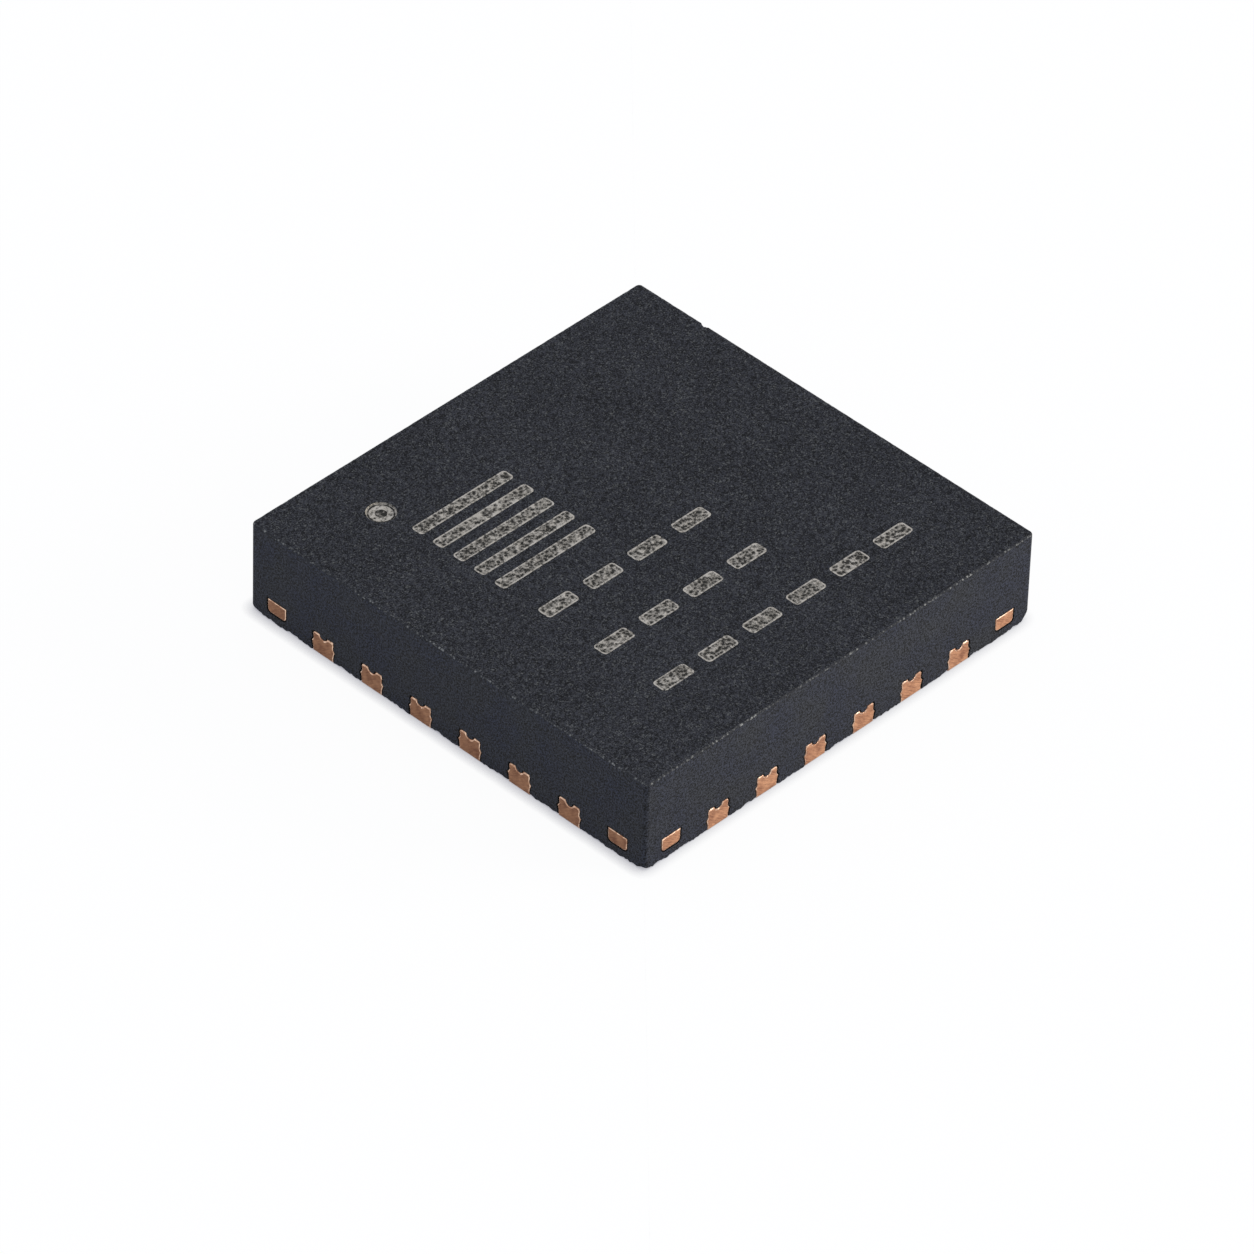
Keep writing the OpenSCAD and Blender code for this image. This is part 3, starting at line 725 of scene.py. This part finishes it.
def seen_plainly(tree):
    """A socket that is 1 where a surface is seen directly, in a reflection or through glass, and 0 for other rays."""
    path = add(tree, "ShaderNodeLightPath")
    seen = add(tree, "ShaderNodeMath", {0: path.outputs["Is Camera Ray"], 1: path.outputs["Is Glossy Ray"]},
               operation="MAXIMUM")
    seen = add(tree, "ShaderNodeMath", {0: seen.outputs[0], 1: path.outputs["Is Transmission Ray"]},
               operation="MAXIMUM")
    return seen.outputs[0]


def paper_white():
    """White paper sheet: seen plainly it is mostly its own white, so that shadows on it stay faint."""
    material = bpy.data.materials.new("white_paper_sheet")
    material.use_nodes = True
    tree = material.node_tree
    tree.nodes.clear()
    own = add(tree, "ShaderNodeMath", {0: seen_plainly(tree), 1: PAPER_OWN}, operation="MULTIPLY")
    matt = add(tree, "ShaderNodeBsdfDiffuse", {"Color": linear("#f4f4f4")})
    # Painted shadow: the paper's own white is darkened within a tenth or two of a millimetre of the package, most on
    # the left
    lean = add(tree, "ShaderNodeCombineXYZ", SHADE_LEAN)
    open_sky = add(tree, "ShaderNodeAmbientOcclusion", {"Distance": SHADE_REACH, "Normal": lean.outputs[0]}, samples=4)
    white = add(tree, "ShaderNodeMix", {FACTOR: open_sky.outputs["AO"], COLOUR_A: linear("#9494a0"),
                                        COLOUR_B: (1, 1, 1, 1)}, data_type="RGBA")
    glow = add(tree, "ShaderNodeEmission", {"Color": white.outputs[COLOUR], "Strength": 1.0})
    mixed = add(tree, "ShaderNodeMixShader", {0: own.outputs[0], 1: matt.outputs[0], 2: glow.outputs[0]})
    add(tree, "ShaderNodeOutputMaterial", {"Surface": mixed.outputs[0]})
    return material


def direction(azimuth, elevation):
    """The direction from the package to a viewpoint or lamp; azimuth 0 is at -Y."""
    return Vector((math.sin(azimuth) * math.cos(elevation), -math.cos(azimuth) * math.cos(elevation),
                   math.sin(elevation)))


def studio():
    """A white floor with a soft shadow, partly painted, and even light with a stronger soft lamp on the right."""
    bm = bmesh.new()
    bmesh.ops.create_grid(bm, x_segments=1, y_segments=1, size=FLOOR_HALF)
    bmesh.ops.translate(bm, verts=bm.verts, vec=(0, 0, -FLOOR_GAP))
    floor = as_object(bm, "studio_floor", [paper_white()])

    # The world lights the package a little blue, and is white where it is seen plainly
    world = bpy.data.worlds.new("studio")
    bpy.context.scene.world = world
    world.use_nodes = True
    tree = world.node_tree
    tree.nodes.clear()
    lit = add(tree, "ShaderNodeBackground", {"Color": linear("#e2eaff"), "Strength": 0.87})
    white = add(tree, "ShaderNodeBackground", {"Color": (1, 1, 1, 1), "Strength": 1.0})
    mixed = add(tree, "ShaderNodeMixShader", {0: seen_plainly(tree), 1: lit.outputs[0], 2: white.outputs[0]})
    add(tree, "ShaderNodeOutputWorld", {"Surface": mixed.outputs[0]})

    for name, azimuth, elevation, size, power in LAMPS:
        back = direction(math.radians(azimuth), math.radians(elevation))
        lamp = bpy.data.lights.new(name, "AREA")
        lamp.size = size
        lamp.energy = power
        lamp.color = linear("#fff9f0")[:3]
        made = in_scene(name, lamp)
        made.location = back * LAMP_DISTANCE
        made.rotation_euler = back.to_track_quat("Z", "Y").to_euler()


def camera():
    """The photograph's viewpoint: a long lens from above the front corner, turned slightly on its axis."""
    back = direction(VIEW_AZIMUTH, VIEW_ELEVATION)
    right = Vector((math.cos(VIEW_AZIMUTH), math.sin(VIEW_AZIMUTH), 0))
    up = back.cross(right)
    turned_right = right * math.cos(VIEW_ROLL) + up * math.sin(VIEW_ROLL)
    turned_up = up * math.cos(VIEW_ROLL) - right * math.sin(VIEW_ROLL)
    lens = bpy.data.cameras.new("photo_view")
    lens.sensor_width = SENSOR
    lens.lens = SENSOR * FOCAL_PIXELS / FRAME_PIXELS
    lens.clip_start, lens.clip_end = 1 * MM, 2
    made = in_scene("photo_view", lens)
    made.matrix_world = Matrix((turned_right, turned_up, back)).transposed().to_4x4()
    made.location = turned_right * VIEW_RIGHT + turned_up * VIEW_UP + back * VIEW_DISTANCE - UP * VIEW_DROP
    bpy.context.scene.camera = made


studio()
camera()
bpy.context.scene.view_settings.view_transform = "Standard"
